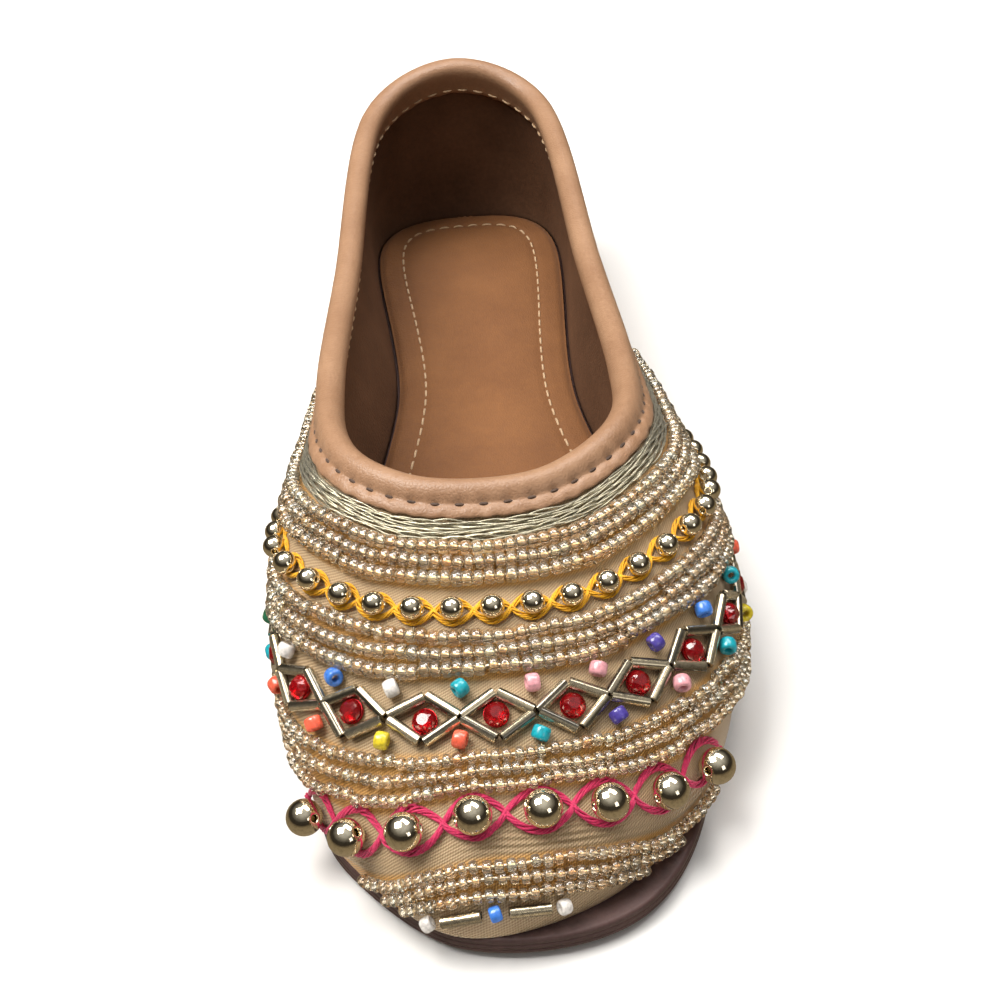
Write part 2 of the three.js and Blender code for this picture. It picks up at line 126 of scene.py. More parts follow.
def sole_top(along):
    return sole_bottom(along) + SOLE_THICKNESS + HEEL_LIFT * smooth_step(*HEEL_LIFT_RANGE, along)


def section_columns(turn):
    """Columns of the section table at turns, by a closed Catmull-Rom curve through its rows."""
    count = len(SECTIONS)
    place = (np.asarray(turn, float) % 1) * count
    first = np.floor(place).astype(int) % count
    t = (place - np.floor(place))[..., None]
    before, start, end, after = (SECTIONS[(first + step) % count] for step in (-1, 0, 1, 2))
    leave = (end - before) / 2
    arrive = (after - start) / 2
    mixed = (2 * t ** 3 - 3 * t ** 2 + 1) * start + (t ** 3 - 2 * t ** 2 + t) * leave
    mixed = mixed + (3 * t ** 2 - 2 * t ** 3) * end + (t ** 3 - t ** 2) * arrive
    return mixed * SHARE_SCALE


def foot_points(turn):
    columns = section_columns(turn)
    along = columns[..., 1] + CENTRE_ALONG
    return np.stack([columns[..., 0] + CENTRE_ACROSS, along, sole_top(along) + GAP], -1)


def top_points(turn):
    columns = section_columns(turn)
    return np.stack([columns[..., 2] + CENTRE_ACROSS, columns[..., 3] + CENTRE_ALONG, columns[..., 4]], -1)


def outward(curve, turn):
    """Level direction away from the shoe, square to a closed curve round it."""
    step = 1e-4
    tangent = curve(np.asarray(turn) + step) - curve(np.asarray(turn) - step)
    return unit(np.stack([tangent[..., 1], -tangent[..., 0], np.zeros(tangent.shape[:-1])], -1))


def section_arcs(turn, place):
    """Points of the sections' cubic arcs: place 0 is the topline and 1 the feather line."""
    columns = section_columns(turn)[:, None, :]
    foot = foot_points(turn)[:, None, :]
    top = top_points(turn)[:, None, :]
    up = np.array([0, 0, 1.0])
    leaving = foot + outward(foot_points, turn)[:, None, :] * columns[..., 5:6] + up * columns[..., 6:7]
    arriving = top + outward(top_points, turn)[:, None, :] * columns[..., 7:8] - up * columns[..., 8:9]
    t = place[None, :, None]
    upper_half = (1 - t) ** 3 * top + 3 * (1 - t) ** 2 * t * arriving
    return upper_half + 3 * (1 - t) * t ** 2 * leaving + t ** 3 * foot


TURNS = 1440
SHARES = 241
grid_turns = np.arange(TURNS) / TURNS - 0.5


def even_rows(grid, run):
    """A grid resampled to even steps of length down each section."""
    even = np.empty_like(grid)
    for i in range(TURNS):
        wanted = np.linspace(0, run[i, -1], SHARES)
        for axis in range(3):
            even[i, :, axis] = np.interp(wanted, run[i], grid[i, :, axis])
    return even


def surface_grid():
    """The surface, its normals and its lengths, on even steps of turn and down each section."""
    arcs = section_arcs(grid_turns, np.linspace(0, 1, SHARES))
    spans = np.linalg.norm(np.diff(arcs, axis=1), axis=2)
    run = np.concatenate([np.zeros((TURNS, 1)), np.cumsum(spans, axis=1)], axis=1)
    even = even_rows(arcs, run)
    down = np.gradient(even, axis=1)
    around = even_rows(np.roll(arcs, -1, axis=0) - np.roll(arcs, 1, axis=0), run)
    return even, unit(np.cross(down, around)), run[:, -1]


grid_points, grid_normals, grid_widths = surface_grid()
grid_top_down = unit(grid_points[:, 1] - grid_points[:, 0])


def surface(turn, below):
    """Points and normals of the upper. Above the topline the surface goes straight on."""
    turn, below = np.broadcast_arrays(np.asarray(turn, float), np.asarray(below, float))
    place = ((turn + 0.5) % 1) * TURNS
    first = np.floor(place).astype(int)
    across = (place - first)[..., None]
    first = first % TURNS
    second = (first + 1) % TURNS
    width = grid_widths[first] * (1 - across[..., 0]) + grid_widths[second] * across[..., 0]
    share = np.clip(below / width, 0, 1) * (SHARES - 1)
    upper_row = np.minimum(np.floor(share).astype(int), SHARES - 2)
    down = (share - upper_row)[..., None]

    def mixed(grid):
        left = grid[first, upper_row] * (1 - down) + grid[first, upper_row + 1] * down
        right = grid[second, upper_row] * (1 - down) + grid[second, upper_row + 1] * down
        return left * (1 - across) + right * across

    over = np.minimum(below, 0)[..., None]
    lift = grid_top_down[first] * (1 - across) + grid_top_down[second] * across
    return mixed(grid_points) + over * lift, unit(mixed(grid_normals))


def skin(turn, below, raised=0.0):
    points, normals = surface(turn, below)
    return points + normals * np.asarray(raised, float)[..., None]


def section_width(turn):
    return np.interp((np.asarray(turn, float) + 0.5) % 1, np.arange(TURNS + 1) / TURNS,
                     np.append(grid_widths, grid_widths[0]))


def sag(turn, below):
    """How far the lower rows of beads hang down at the sides."""
    sideways = smooth_step(*ROW_SAG["away"], np.abs(np.asarray(turn, float) - ROW_SAG["middle"]))
    return ROW_SAG["depth"] * sideways * smooth_step(*ROW_SAG["under"], np.asarray(below, float))


def laid(turn, below):
    """Points and normals of the upper where beadwork is laid."""
    return surface(turn, below + sag(turn, below))


def laid_at(turn, below, raised=0.0):
    return skin(turn, below + sag(turn, below), raised)


def row_end(below, side):
    """How far round a row runs on one side before the side seam or the sole stops it."""
    turns = np.arange(0, SEAM_TURN + 1e-9, 0.002)
    clear = section_width(side * turns) >= below + sag(side * turns, below) + ROW_END_MARGIN
    last = len(turns) if clear.all() else int(np.argmin(clear))
    return side * turns[max(last - 1, 0)]


def path_run(points):
    """Distances along a path."""
    return np.concatenate([[0], np.cumsum(np.linalg.norm(np.diff(points, axis=0), axis=1))])


def row_run(turns, below):
    """Distances along a row at turns on it."""
    return path_run(laid_at(turns, np.full(len(turns), below)))


def row_turns(below, pitch, start, room):
    """Turns of points a pitch apart along a row, counted both ways from the toe."""
    found = []
    for side in (-1, 1):
        turns = np.linspace(0, row_end(below + room, side), 1200)
        run = row_run(turns, below)
        first = pitch - start if side < 0 else start
        found.append(np.interp(np.arange(first, run[-1], pitch), run, turns))
    return np.sort(np.concatenate(found))


def row_frames(turn, below, raised=0.0):
    """Points of a row with its directions: along it, away from the cloth, and across it."""
    step = 1e-3
    turn = np.asarray(turn, float)
    points = laid_at(turn, below, raised)
    along = unit(laid_at(turn + step, below, raised) - laid_at(turn - step, below, raised))
    away = laid(turn, below)[1]
    across = unit(np.cross(along, away))
    return points, along, unit(np.cross(across, along)), across


def turn_across(turn, below, offset):
    """The turns that lie square across a row from points on it."""
    step = 2e-3
    along = (laid_at(turn + step, below) - laid_at(turn - step, below)) / (2 * step)
    slip = ((laid_at(turn, below + offset) - laid_at(turn, below)) * along).sum(-1)
    return turn - slip / (along ** 2).sum(-1)


# Meshes

def grid_faces(rows, columns, close_rows=False, close_columns=False):
    """Quads over a grid of points, joined at its ends where it is closed."""
    i = np.arange(rows if close_rows else rows - 1)[:, None]
    j = np.arange(columns if close_columns else columns - 1)[None, :]
    k = (i + 1) % rows
    m = (j + 1) % columns
    return np.stack([i * columns + j, k * columns + j, k * columns + m, i * columns + m], -1).reshape(-1, 4)


class Shape:
    """Points and faces of one piece, with a tone for each point."""

    def __init__(self):
        self.points = []
        self.faces = []
        self.tones = []
        self.count = 0

    def add(self, points, faces, tone=(1.0, 1.0, 1.0)):
        points = np.asarray(points, float).reshape(-1, 3)
        self.points.append(points)
        self.faces.extend((np.asarray(faces) + self.count).tolist())
        self.tones.append(np.broadcast_to(np.asarray(tone, float), points.shape))
        self.count += len(points)

    def piece(self, name, finish, slot, nodes=(), flat=False, chart=None, sharp=None):
        """A Blender object that rides on the shoe and stands for the nodes it replaces."""
        mesh = bpy.data.meshes.new(name)
        points = np.concatenate(self.points)
        mesh.from_pydata((points * MM).tolist(), [], self.faces)
        tones = mesh.color_attributes.new("tone", "FLOAT_COLOR", "POINT")
        colours = np.ones((len(points), 4))
        colours[:, :3] = np.concatenate(self.tones)
        tones.data.foreach_set("color", colours.ravel())
        if chart is not None:
            corners = np.zeros(len(mesh.loops), np.int32)
            mesh.loops.foreach_get("vertex_index", corners)
            mesh.uv_layers.new(name="chart").data.foreach_set("uv", chart[corners].ravel())
        if not flat:
            mesh.shade_smooth()
        if sharp:
            mesh.set_sharp_from_angle(angle=math.radians(sharp))
        mesh.materials.append(finish)
        mesh.update()
        piece = bpy.data.objects.new(name, mesh)
        bpy.context.scene.collection.objects.link(piece)
        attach(piece, "root")
        if nodes:
            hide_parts(*nodes)
        return piece


def sweep_points(centres, away, across, outline):
    """Rings of an outline round a path, with its columns going away and across."""
    return centres[:, None, :] + away[:, None, :] * outline[..., 0:1] + across[:, None, :] * outline[..., 1:2]


def circle(sides):
    angle = 2 * np.pi * np.arange(sides) / sides
    return np.stack([np.cos(angle), np.sin(angle)], -1)


def path_frames(path, away):
    along = unit(np.gradient(path, axis=0))
    across = unit(np.cross(along, away))
    return along, unit(np.cross(across, along)), across


def add_tube(shape, path, away, radius, sides):
    """A round thread along a path, with rounded ends."""
    along, out, across = path_frames(path, away)
    past = along * radius * 0.6
    centres = np.concatenate([path[:1] - past[:1], path, path[-1:] + past[-1:]])
    size = np.full(len(centres), float(radius))
    size[[0, -1]] = radius * 0.25
    out = np.concatenate([out[:1], out, out[-1:]])
    across = np.concatenate([across[:1], across, across[-1:]])
    rings = sweep_points(centres, out, across, circle(sides)[None] * size[:, None, None])
    shape.add(rings, grid_faces(len(centres), sides, close_columns=True))


def add_twisted(shape, path, away, ply, spread, pitch, sides):
    """A thread of two plies twisted round a path."""
    old = path_run(path)
    run = np.linspace(0, old[-1], max(4, int(old[-1] / (pitch / 8))))
    even = np.stack([np.interp(run, old, path[:, axis]) for axis in range(3)], -1)
    normals = unit(np.stack([np.interp(run, old, away[:, axis]) for axis in range(3)], -1))
    _, out, across = path_frames(even, normals)
    for start in (0, np.pi):
        angle = (2 * np.pi * run / pitch + start)[:, None]
        turn_out = out * np.cos(angle) + across * np.sin(angle)
        add_tube(shape, even + spread * turn_out, normals, ply, sides)


def lathe(profile, sides):
    """A ring-shaped template round the X axis from a closed outline of (along, radius)."""
    ring = circle(sides)
    points = np.stack([
        np.repeat(profile[:, :1], sides, 1), profile[:, 1:] * ring[:, 0], profile[:, 1:] * ring[:, 1],
    ], -1)
    return points.reshape(-1, 3), grid_faces(len(profile), sides, close_rows=True, close_columns=True)


def bead_outline(half_length, radius, bore, points, power):
    """Closed outline of a bead with a hole: rounded, and blunter as power grows."""
    angle = 2 * np.pi * np.arange(points) / points
    shape = 2 / power
    along = half_length * np.sign(np.cos(angle)) * np.abs(np.cos(angle)) ** shape
    middle = (radius + bore) / 2
    out = middle + (radius - bore) / 2 * np.sign(np.sin(angle)) * np.abs(np.sin(angle)) ** shape
    return np.stack([along, out], -1)[::-1]


def ball_outline(radius, bore, points):
    """Closed outline of a round bead with a hole along its axis and a small lip at each end."""
    open_angle = math.asin(bore / radius)
    angle = np.linspace(open_angle, np.pi - open_angle, points)
    outside = np.stack([radius * np.cos(angle), radius * np.sin(angle)], -1)
    depth = radius * math.cos(open_angle)
    lip = bore * 0.8
    inside = np.array([[-depth * 0.93, lip], [-depth * 0.5, lip], [depth * 0.5, lip], [depth * 0.93, lip]])
    return np.concatenate([outside, inside])


def add_copies(shape, template, centres, along, away, across, scale=None, tones=None):
    """Copies of a template whose X axis goes along, Z away from the cloth and Y across."""
    points, faces = template
    scale = np.ones((len(centres), 3)) if scale is None else scale
    local = points[None] * scale[:, None, :]
    axes = np.stack([along, across, away], 1)
    placed = centres[:, None, :] + np.einsum("nvk,nkx->nvx", local, axes)
    for i, copy in enumerate(placed):
        shape.add(copy, faces, (1, 1, 1) if tones is None else tones[i])


def turned(along, away, across, yaw, pitch):
    """Small random turns of bead directions: about away by yaw, and about across by pitch."""
    yaw = yaw[:, None]
    pitch = pitch[:, None]
    along_yawed = along * np.cos(yaw) + across * np.sin(yaw)
    across = across * np.cos(yaw) - along * np.sin(yaw)
    along = along_yawed * np.cos(pitch) + away * np.sin(pitch)
    away = away * np.cos(pitch) - along_yawed * np.sin(pitch)
    return along, away, across


# Materials

class Tree:
    """Shader nodes of a material or of the room."""

    def __init__(self, owner):
        owner.use_nodes = True
        self.nodes = owner.node_tree.nodes
        self.links = owner.node_tree.links

    def node(self, kind, inputs=None, **settings):
        node = self.nodes.new(kind)
        for name, value in settings.items():
            setattr(node, name, value)
        for name, value in (inputs or {}).items():
            if isinstance(value, bpy.types.NodeSocket):
                self.links.new(value, node.inputs[name])
            else:
                node.inputs[name].default_value = value
        return node

    def place(self, kind="Object"):
        return self.node("ShaderNodeTexCoord").outputs[kind]

    def noise(self, scale, detail):
        inputs = {"Vector": self.place(), "Scale": scale, "Detail": detail, "Roughness": 0.55}
        return self.node("ShaderNodeTexNoise", inputs).outputs["Fac"]

    def cells(self, scale):
        inputs = {"Vector": self.place(), "Scale": scale}
        return self.node("ShaderNodeTexVoronoi", inputs, feature="DISTANCE_TO_EDGE").outputs["Distance"]

    def math(self, operation, first, second=0.0):
        return self.node("ShaderNodeMath", {0: first, 1: second}, operation=operation).outputs[0]

    def ramp(self, value, *stops):
        node = self.node("ShaderNodeValToRGB", {"Fac": value})
        elements = node.color_ramp.elements
        elements[0].position = stops[0][0]
        elements[-1].position = stops[-1][0]
        for place, _ in stops[1:-1]:
            elements.new(place)
        for element, (_, colour) in zip(elements, stops):
            element.color = (*colour, 1)
        return node.outputs["Color"]

    def mix(self, amount, first, second, blend="MIX"):
        node = self.node("ShaderNodeMix", data_type="RGBA", blend_type=blend)
        for place, value in ((0, amount), (6, first), (7, second)):
            if isinstance(value, bpy.types.NodeSocket):
                self.links.new(value, node.inputs[place])
            else:
                node.inputs[place].default_value = value if place == 0 else (*value, 1)
        return node.outputs[2]


class Finish(Tree):
    """A principled material that is built up from procedural nodes."""

    def __init__(self, name, **sockets):
        self.material = bpy.data.materials.new(name)
        super().__init__(self.material)
        self.shader = self.nodes["Principled BSDF"]
        for socket, value in sockets.items():
            self.shader.inputs[socket.replace("_", " ").title().replace("Ior", "IOR")].default_value = value

    def tone(self):
        return self.node("ShaderNodeAttribute", attribute_name="tone").outputs["Color"]

    def colour(self, value):
        self.links.new(value, self.shader.inputs["Base Color"])

    def rough(self, value, low, high):
        spread = self.node("ShaderNodeMapRange", {"Value": value, "To Min": low, "To Max": high})
        self.links.new(spread.outputs["Result"], self.shader.inputs["Roughness"])

    def bump(self, height, strength, distance):
        inputs = {"Height": height, "Strength": strength, "Distance": distance}
        self.links.new(self.node("ShaderNodeBump", inputs).outputs["Normal"], self.shader.inputs["Normal"])


def leather(name, dark, light, roughness, grain, strength, sheen=0.0):
    """Grained leather with slow changes of tone."""
    finish = Finish(name, specular_ior_level=0.4, sheen_weight=sheen, sheen_roughness=0.5)
    mottle = finish.noise(60, 5)
    fine = finish.noise(900, 3)
    base = finish.ramp(mottle, (0.3, dark), (0.7, light))
    finish.colour(finish.mix(0.35, base, finish.ramp(fine, (0.3, dark), (0.7, light))))
    finish.rough(fine, roughness - 0.08, roughness + 0.12)
    pebbles = finish.math("MINIMUM", finish.cells(grain), 0.25)
    pores = finish.math("MULTIPLY", finish.noise(grain * 0.6, 4), 0.5)
    finish.bump(finish.math("ADD", pebbles, pores), strength, 0.0004)
    return finish.material


def thread_finish(name, colour, shade, metallic=0.0, roughness=0.65):
    """Spun thread with fine fibres and uneven dye."""
    finish = Finish(name, metallic=metallic, sheen_weight=0.25, sheen_roughness=0.4)
    fibres = finish.noise(2600, 3)
    slow = finish.noise(160, 2)
    spun = finish.ramp(fibres, (0.3, shade), (0.65, colour))
    finish.colour(finish.mix(finish.math("MULTIPLY", slow, 0.6), spun, colour))
    finish.rough(fibres, roughness - 0.1, roughness + 0.15)
    finish.bump(fibres, 0.5, 0.0002)
    return finish.material


def bead_finish(name, colour, dirt=0.28, **sockets):
    """Beads whose own tone varies from one to the next, with faint dirt and pits."""
    finish = Finish(name, **sockets)
    specks = finish.noise(1500, 3)
    shade = tuple(part * (1 - dirt) for part in colour)
    marked = finish.ramp(specks, (0.35, shade), (0.55, colour))
    finish.colour(finish.mix(1.0, marked, finish.tone(), "MULTIPLY"))
    rough = sockets.get("roughness", 0.2)
    finish.rough(specks, rough * 0.6, rough * 1.6)
    finish.bump(finish.noise(2200, 2), 0.12, 0.0001)
    return finish.material


def cloth_finish():
    """Cream gold twill on a chart in millimetres round the shoe and below the topline."""
    finish = Finish("vamp_twill", sheen_weight=0.3, sheen_roughness=0.35, specular_ior_level=0.45)
    parts = finish.node("ShaderNodeSeparateXYZ", {"Vector": finish.place("UV")})
    round_mm = parts.outputs["X"]
    below_mm = finish.math("ADD", parts.outputs["Y"], finish.math("MULTIPLY", finish.noise(140, 3), 0.8))
    diagonal = finish.math("ADD", finish.math("MULTIPLY", round_mm, 0.6), below_mm)
    twill = finish.math("SINE", finish.math("MULTIPLY", diagonal, 2 * math.pi / 0.56))
    weft = finish.math("SINE", finish.math("MULTIPLY", round_mm, 2 * math.pi / 0.38))
    weave = finish.math("ADD", finish.math("MULTIPLY", twill, 0.6), finish.math("MULTIPLY", weft, 0.4))
    fine = finish.noise(1400, 3)
    share = finish.node("ShaderNodeMapRange", {"Value": weave, "From Min": -1.0, "From Max": 1.0})
    lit = finish.ramp(share.outputs["Result"], (0.1, (0.26, 0.165, 0.08)), (0.7, (0.52, 0.38, 0.225)))
    worn = finish.mix(finish.math("MULTIPLY", finish.noise(45, 4), 0.5), lit, (0.4, 0.28, 0.155))
    finish.colour(finish.mix(1.0, worn, finish.tone(), "MULTIPLY"))
    finish.rough(fine, 0.42, 0.7)
    finish.bump(finish.math("ADD", weave, finish.math("MULTIPLY", fine, 0.6)), 0.4, 0.0002)
    return finish.material


SOLE_LEATHER = leather("sole_leather", (0.052, 0.026, 0.024), (0.105, 0.056, 0.05), 0.5, 700, 0.3)
INSOLE_SUEDE = leather("insole_suede", (0.155, 0.057, 0.015), (0.22, 0.089, 0.026), 0.72, 1500, 0.4, 0.06)
BINDING_LEATHER = leather("binding_leather", (0.27, 0.145, 0.08), (0.38, 0.222, 0.13), 0.36, 1300, 0.35)
LINING_LEATHER = leather("lining_leather", (0.07, 0.033, 0.017), (0.15, 0.075, 0.04), 0.55, 1000, 0.35)
CLOTH = cloth_finish()
DARK_STITCH = thread_finish("dark_stitch", (0.09, 0.05, 0.03), (0.03, 0.014, 0.009))
CREAM_STITCH = thread_finish("cream_stitch", (0.62, 0.44, 0.27), (0.38, 0.24, 0.12))
YELLOW_THREAD = thread_finish("yellow_thread", (0.93, 0.5, 0.012), (0.62, 0.25, 0.004))
PINK_THREAD = thread_finish("pink_thread", (0.66, 0.025, 0.12), (0.32, 0.006, 0.05))
ZARI = thread_finish("zari_thread", (0.6, 0.56, 0.43), (0.24, 0.21, 0.13), metallic=0.85, roughness=0.3)
STRING_CORE = thread_finish("string_core", (0.96, 0.81, 0.62), (0.82, 0.6, 0.34), metallic=1.0, roughness=0.3)
SEED_GLASS = bead_finish(
    "seed_glass", (1.0, 0.9, 0.72), dirt=0.08, roughness=0.04, transmission_weight=0.92, ior=1.5,
    coat_weight=1.0, coat_ior=1.7, coat_roughness=0.04,
)
SILVERED = bead_finish("silvered_bead", (0.86, 0.78, 0.61), dirt=0.15, metallic=1.0, roughness=0.06)
BUGLE_GLASS = bead_finish(
    "bugle_glass", (0.74, 0.65, 0.48), metallic=0.8, roughness=0.15, coat_weight=1.0, coat_roughness=0.02,
)
RED_GLASS = bead_finish(
    "red_glass", (0.62, 0.008, 0.016), roughness=0.03, transmission_weight=0.75, ior=1.6, coat_weight=0.5,
    coat_roughness=0.02,
)
RED_FOIL = bead_finish("red_foil", (0.55, 0.03, 0.035), metallic=0.9, roughness=0.18)
ACCENT_COLOURS = {
    "turquoise": (0.01, 0.36, 0.44), "blue": (0.05, 0.2, 0.66), "white": (0.78, 0.74, 0.7),
    "yellow": (0.74, 0.58, 0.03), "coral": (0.85, 0.13, 0.07), "pink": (0.78, 0.36, 0.4),
    "violet": (0.07, 0.05, 0.3), "green": (0.015, 0.13, 0.06),
}


# Sole, insole, upper and binding

def edge_points(turn, push):
    return foot_points(turn) + outward(foot_points, turn) * np.asarray(push, float)[..., None]


def outsole():
    """A flat sole with a rounded lower edge and two fine lines where its layers meet."""
    around = 480
    turns = np.arange(around) / around
    edge = [
        (-1.5, 0, 0), (-0.8, 0, 0.1), (-0.25, 0, 0.42), (0, 0, 0.95), (0, 0.34, 0), (-0.14, 0.36, 0),
        (0, 0.38, 0), (0.03, 0.64, 0), (-0.12, 0.66, 0), (0.02, 0.68, 0), (0, 0.9, 0), (-0.2, 0.98, 0),
        (-0.6, 1, 0),
    ]
    welt = section_columns(turns)[:, 9]
    profile = []
    for push, share, lift in edge:
        points = edge_points(turns, welt + push)
        low = sole_bottom(points[:, 1])
        high = sole_top(points[:, 1])
        points[:, 2] = low + lift + share * (high - low)
        profile.append(points)
    profile = np.stack(profile, 1)
    size = len(edge)
    shape = Shape()
    shape.add(profile, grid_faces(around, size, close_rows=True))
    half = around // 2
    for level in (0, size - 1):
        for i in range(half):
            strip = [i, i + 1, (around - i - 1) % around, (around - i) % around]
            corners = [place * size + level for place in dict.fromkeys(strip)]
            shape.faces.append(corners if level else corners[::-1])
    shape.piece("sole", SOLE_LEATHER, "sole_leather", ["outsole"])


INSOLE_STITCH_INSET = 6.5


def insole():
    """A padded sock with a stitched groove and a few soft creases across the ball."""
    turns = np.concatenate([[0.003], np.linspace(0.008, 0.492, 200), [0.497]])
    columns = 61
    inset = -(WALL + 2 * GAP)
    lateral = edge_points(turns, np.full(len(turns), inset))
    medial = edge_points(-turns, np.full(len(turns), inset))
    share = np.sin(np.linspace(-np.pi / 2, np.pi / 2, columns))[None, :, None] / 2 + 0.5
    points = medial[:, None, :] * (1 - share) + lateral[:, None, :] * share
    outline = np.concatenate([lateral, medial])[:, :2]
    flat = points[..., :2].reshape(-1, 2)
    depth = np.min(np.linalg.norm(flat[:, None, :] - outline[None], axis=2), axis=1).reshape(points.shape[:2])
    along = points[..., 1]
    across = points[..., 0]
    crown = INSOLE_THICKNESS - 0.9 * np.exp(-(depth / 1.1) ** 2)
    groove = -0.45 * np.exp(-((depth - INSOLE_STITCH_INSET) / 0.9) ** 2)
    creases = sum(
        size * np.exp(-((along - place - lean * across - 2 * np.sin(across / 9)) / 1.3) ** 2)
        for place, lean, size in ((-34, 0.1, -0.22), (-22, -0.08, -0.18), (-3, 0.14, -0.14), (24, -0.1, -0.1))
    )
    points[..., 2] = sole_top(along) + GAP + crown + groove + creases
    base = points[:, [0, -1]].copy()
    base[..., 2] = sole_top(base[..., 1]) + GAP
    profile = np.concatenate([base[:, :1], points, base[:, 1:]], 1)
    shape = Shape()
    shape.add(profile, grid_faces(*profile.shape[:2])[:, ::-1])
    shape.piece("insole_sock", INSOLE_SUEDE, "insole_leather", ["insole"])


def closed_run(points):
    """Distances along a closed curve, with its whole length last."""
    return path_run(np.concatenate([points, points[:1]]))


def upper_shell():
    """The cloth wall with its lining: gathers above the toe band, slight pulls at the bead rows, and a
    painted amber glow under the seed bands.
    """
    around = 300
    rows = 220
    lining_rows = 36
    turns = np.arange(around) / around - 0.5
    width = section_width(turns)
    shares = np.interp(np.linspace(0, 1, rows), (0, 0.45, 0.8, 1), (0, 0.74, 0.89, 1))
    below = width[:, None] * shares[None]
    level = below - sag(turns[:, None], below)
    beaded = smooth_step(SEAM_TURN + 0.012, SEAM_TURN - 0.004, np.abs(turns))[:, None]
    lengths = closed_run(skin(turns, width * 0.5))
    run = lengths[:-1, None]
    drift = 1.1 * np.sin(run / 9.0) + 0.7 * np.sin(run / 3.7 + 1)
    gather = np.sin(level * 5.2 + drift) * (0.7 + 0.3 * np.sin(run / 5.3))
    strip = smooth_step(60.5, 62.5, level) * smooth_step(67, 65, level)
    wave = 0.10 * np.sin(run / 7.3 + below / 5.1) + 0.08 * np.sin(run / 4.1 - below / 3.3)
    raised = beaded * 0.2 * gather * strip + 0.6 * wave
    outer = skin(turns[:, None], below, raised)
    # Painted light: under the seed bands the cloth is tinted a brighter amber. This painted glow stands for
    # light that passes through the glass beads and shows between their rows.
    gold = np.zeros_like(below)
    for low, high in SEED_BANDS:
        inside = smooth_step(low - 0.5, low + 0.4, level) * smooth_step(high + 0.5, high - 0.4, level)
        gold = np.maximum(gold, inside)
    gold = (gold * beaded)[..., None]
    tone = np.array([1.0, 1.0, 1.0]) * (1 - gold) + np.array([1.3, 0.98, 0.5]) * gold
    lining_below = width[:, None] * np.linspace(1, 0, lining_rows)[None]
    inner = skin(turns[:, None], lining_below, -WALL)
    profile = np.concatenate([outer, inner], 1)
    size = rows + lining_rows
    faces = grid_faces(around, size, close_rows=True, close_columns=True)
    shape = Shape()
    shape.add(profile, faces, np.concatenate([tone, np.ones(inner.shape)], 1).reshape(-1, 3))
    chart = np.stack([np.repeat(run, size, 1), np.concatenate([below, lining_below], 1)], -1).reshape(-1, 2)
    shell = shape.piece("upper_cloth", CLOTH, "vamp_cloth", ["upper"], chart=chart)
    shell.data.materials.append(LINING_LEATHER)
    inside = (np.arange(len(faces)) % size) >= rows - 1
    shell.data.polygons.foreach_set("material_index", inside.astype(np.int32))
    close_chart(shell.data, size, lengths[-1])


def close_chart(mesh, size, length):
    """Carries the chart on past its last column, where the ring closes."""
    layer = mesh.uv_layers["chart"].data
    for loop in range(len(mesh.loops) - 4 * size, len(mesh.loops)):
        if mesh.loops[loop].vertex_index < size:
            layer[loop].uv.x += length


BINDING_STITCH = {"below": 3.7, "pitch": 4.4, "length": 1.9}
BINDING_OUTLINE = np.array([
    [6.2, 0.3], [6.35, 0.7], [6.15, 1.05], [5.5, 1.2], [4.8, 1.25], [4.2, 1.12], [3.7, 0.8],
    [3.2, 1.15], [2.5, 1.6], [1.6, 1.95], [0.6, 2.05], [-0.4, 1.75], [-1.3, 0.95], [-1.78, -0.2],
    [-1.85, -1.4], [-1.5, -2.7], [-0.7, -3.55], [0.4, -3.95], [1.8, -3.85], [3.6, -3.6], [5.6, -3.42],
    [7.0, -3.3], [7.3, -2.95], [7.2, -2.5], [3.5, -2.5], [-0.3, -2.5], [-0.3, 0.3], [3.0, 0.3],
])


def even_turns(curve, pitch):
    """Turns an even pitch apart round a closed curve, and the pitch that closes it."""
    turns = np.arange(2880) / 2880 - 0.5
    run = closed_run(curve(turns))
    count = int(round(run[-1] / pitch))
    wanted = np.arange(count) * run[-1] / count
    return np.interp(wanted, run, np.append(turns, 0.5)), run[-1] / count


def topline(below, raised):
    """A curve round the whole topline."""
    return lambda turns: skin(turns, np.full(len(turns), below), raised)


def binding():
    """Leather folded over the topline, dented where the thread pulls it in."""
    around = 540
    turns = np.arange(around) / around - 0.5
    stitch_turns, _ = even_turns(topline(BINDING_STITCH["below"], 1.0), BINDING_STITCH["pitch"])
    phase = np.interp(turns, stitch_turns, np.arange(len(stitch_turns)))
    pull = (0.5 - 0.5 * np.cos(2 * np.pi * phase)) ** 2
    below = BINDING_OUTLINE[None, :, 0] + np.zeros((around, 1))
    raised = BINDING_OUTLINE[None, :, 1] + np.zeros((around, 1))
    near_groove = np.exp(-((below - BINDING_STITCH["below"]) / 0.9) ** 2) * (raised > 0.5)
    raised = raised - near_groove * 0.4 * (pull[:, None] - 0.35)
    edge_wave = 0.1 * np.sin(turns * 2 * np.pi * 61) + 0.08 * np.sin(turns * 2 * np.pi * 37 + 1)
    below = below + (below > 5) * edge_wave[:, None]
    profile = skin(turns[:, None], below, raised)
    shape = Shape()
    shape.add(profile, grid_faces(*profile.shape[:2], close_rows=True, close_columns=True)[:, ::-1])
    piece = shape.piece("binding", BINDING_LEATHER, "binding_leather", ["topline_binding"])
    smooth = piece.modifiers.new("soft_fold", "SUBSURF")
    smooth.levels = smooth.render_levels = 1


def add_stitch(shape, ends, away, height, radius, sides=7):
    """One stitch between two points, which rises from its hole and goes back into the next."""
    share = np.linspace(0, 1, 9)[:, None]
    path = ends[0] * (1 - share) + ends[1] * share
    rise = np.sin(np.pi * share) ** 0.5 * height - 0.35
    add_tube(shape, path + away * rise, np.repeat(away[None], 9, 0), radius, sides)


